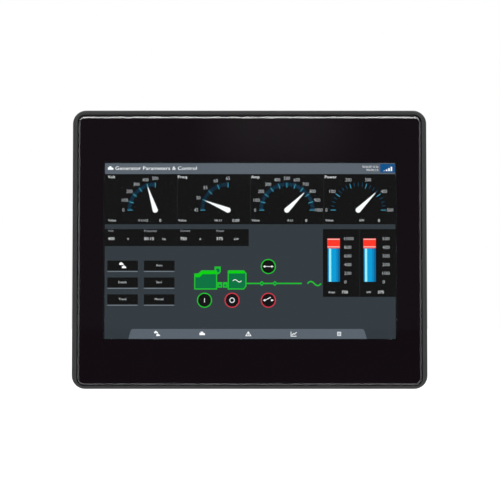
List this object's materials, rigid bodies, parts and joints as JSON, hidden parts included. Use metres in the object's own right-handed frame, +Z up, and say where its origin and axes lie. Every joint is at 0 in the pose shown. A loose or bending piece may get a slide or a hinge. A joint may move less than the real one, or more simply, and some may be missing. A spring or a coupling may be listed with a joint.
{
  "type": "hmi touch panel",
  "caption": "Flush-glass operator panel with a colour touch display, a gasketed flange, a vented rear housing with ports, and screw clamps for a cabinet wall.",
  "frame": {"origin": "centre of the gasket plane that seats on the cabinet wall", "axes": "+X to the right seen from the front, +Y into the cabinet (the front faces -Y), +Z up"},
  "size_m": [0.187, 0.0562, 0.147],
  "materials": {
    "frame_paint": "satin",
    "cover_glass": "gloss",
    "black_print": "gloss",
    "black_foam": "matte",
    "sensor_film": "gloss",
    "flex_circuit": "satin",
    "gasket_rubber": "matte",
    "bright_steel": "satin",
    "display_cell": "gloss",
    "white_film": "matte",
    "clear_acrylic": "gloss",
    "led_white": "satin",
    "white_plastic": "satin",
    "zinc_steel": "satin",
    "screw_steel": "satin",
    "housing_paint": "satin",
    "label_foil": "satin",
    "earth_brass": "satin",
    "circuit_board": "satin",
    "chip_plastic": "satin",
    "thermal_rubber": "matte",
    "bare_aluminium": "satin",
    "dark_ferrite": "satin",
    "capacitor_can": "satin",
    "black_plastic": "satin",
    "cell_steel": "satin",
    "ivory_plastic": "satin",
    "port_steel": "gloss",
    "contact_gold": "polished",
    "green_plastic": "satin",
    "card_plastic": "satin"
  },
  "bodies": {
    "panel": {"front_bezel": "frame_paint", "cover_glass": "cover_glass", "ink_border": "black_print", "glass_adhesive": "black_foam", "touch_sensor": "sensor_film", "touch_tail": "flex_circuit", "panel_gasket": "gasket_rubber", "lcd_gasket": "black_foam", "lcd_frame": "bright_steel", "lcd_panel": "display_cell", "diffuser_sheets": "white_film", "light_guide": "clear_acrylic", "led_strip": "led_white", "backlight_tray": "white_plastic", "lcd_cable": "flex_circuit", "chassis_plate": "zinc_steel", "chassis_screws": "screw_steel", "rear_housing": "housing_paint", "housing_screws": "screw_steel", "option_cover": "housing_paint", "option_cover_screws": "screw_steel", "rating_plate": "label_foil", "earth_screw": "earth_brass", "main_board": "circuit_board", "board_standoffs": "earth_brass", "board_screws": "screw_steel", "processor": "chip_plastic", "thermal_pad": "thermal_rubber", "heat_sink": "bare_aluminium", "memory_chips": "chip_plastic", "logic_chips": "chip_plastic", "inductors": "dark_ferrite", "capacitors": "capacitor_can", "buzzer": "black_plastic", "battery_holder": "black_plastic", "battery": "cell_steel", "board_sockets": "ivory_plastic", "ethernet_ports": "port_steel", "usb_port": "port_steel", "serial_shell": "port_steel", "serial_insert": "black_plastic", "serial_pins": "contact_gold", "jack_posts": "port_steel", "power_header": "green_plastic", "sd_socket": "port_steel"},
    "clamp_bracket_1": {"clamp_bracket_1": "zinc_steel"},
    "clamp_pad_1": {"clamp_pad_1": "black_plastic"},
    "clamp_screw_1": {"clamp_screw_1": "screw_steel"},
    "clamp_bracket_2": {"clamp_bracket_2": "zinc_steel"},
    "clamp_pad_2": {"clamp_pad_2": "black_plastic"},
    "clamp_screw_2": {"clamp_screw_2": "screw_steel"},
    "clamp_bracket_3": {"clamp_bracket_3": "zinc_steel"},
    "clamp_pad_3": {"clamp_pad_3": "black_plastic"},
    "clamp_screw_3": {"clamp_screw_3": "screw_steel"},
    "clamp_bracket_4": {"clamp_bracket_4": "zinc_steel"},
    "clamp_pad_4": {"clamp_pad_4": "black_plastic"},
    "clamp_screw_4": {"clamp_screw_4": "screw_steel"},
    "memory_card": {"sd_card": "card_plastic"},
    "supply_plug": {"power_plug": "green_plastic", "plug_screws": "screw_steel"}
  },
  "joints": [
    {"name": "clamp_hook_1", "type": "slide", "parent": "panel", "child": "clamp_bracket_1", "axis": [0, 1, 0], "range_m": [-0.004, 0]},
    {"name": "clamp_pad_slide_1", "type": "slide", "parent": "clamp_bracket_1", "child": "clamp_pad_1", "axis": [0, -1, 0], "range_m": [0, 0.007]},
    {"name": "clamp_screw_turn_1", "type": "hinge", "parent": "clamp_pad_1", "child": "clamp_screw_1", "pos_m": [0.07, 0.0125, 0.0698], "axis": [0, -1, 0], "range_deg": [0, 3600]},
    {"name": "clamp_hook_2", "type": "slide", "parent": "panel", "child": "clamp_bracket_2", "axis": [0, 1, 0], "range_m": [-0.004, 0]},
    {"name": "clamp_pad_slide_2", "type": "slide", "parent": "clamp_bracket_2", "child": "clamp_pad_2", "axis": [0, -1, 0], "range_m": [0, 0.007]},
    {"name": "clamp_screw_turn_2", "type": "hinge", "parent": "clamp_pad_2", "child": "clamp_screw_2", "pos_m": [-0.07, 0.0125, 0.0698], "axis": [0, -1, 0], "range_deg": [0, 3600]},
    {"name": "clamp_hook_3", "type": "slide", "parent": "panel", "child": "clamp_bracket_3", "axis": [0, 1, 0], "range_m": [-0.004, 0]},
    {"name": "clamp_pad_slide_3", "type": "slide", "parent": "clamp_bracket_3", "child": "clamp_pad_3", "axis": [0, -1, 0], "range_m": [0, 0.007]},
    {"name": "clamp_screw_turn_3", "type": "hinge", "parent": "clamp_pad_3", "child": "clamp_screw_3", "pos_m": [-0.07, 0.0125, -0.0698], "axis": [0, -1, 0], "range_deg": [0, 3600]},
    {"name": "clamp_hook_4", "type": "slide", "parent": "panel", "child": "clamp_bracket_4", "axis": [0, 1, 0], "range_m": [-0.004, 0]},
    {"name": "clamp_pad_slide_4", "type": "slide", "parent": "clamp_bracket_4", "child": "clamp_pad_4", "axis": [0, -1, 0], "range_m": [0, 0.007]},
    {"name": "clamp_screw_turn_4", "type": "hinge", "parent": "clamp_pad_4", "child": "clamp_screw_4", "pos_m": [0.07, 0.0125, -0.0698], "axis": [0, -1, 0], "range_deg": [0, 3600]},
    {"name": "memory_card_slide", "type": "slide", "parent": "panel", "child": "memory_card", "axis": [-1, 0, 0], "range_m": [-0.001, 0.014]},
    {"name": "supply_plug_slide", "type": "slide", "parent": "panel", "child": "supply_plug", "axis": [0, 0, -1], "range_m": [0, 0.013]}
  ],
  "couplings": [
    {"joint": "clamp_screw_turn_1", "follows": "clamp_pad_slide_1", "rad_per_m": 8976},
    {"joint": "clamp_screw_turn_2", "follows": "clamp_pad_slide_2", "rad_per_m": 8976},
    {"joint": "clamp_screw_turn_3", "follows": "clamp_pad_slide_3", "rad_per_m": 8976},
    {"joint": "clamp_screw_turn_4", "follows": "clamp_pad_slide_4", "rad_per_m": 8976}
  ]
}
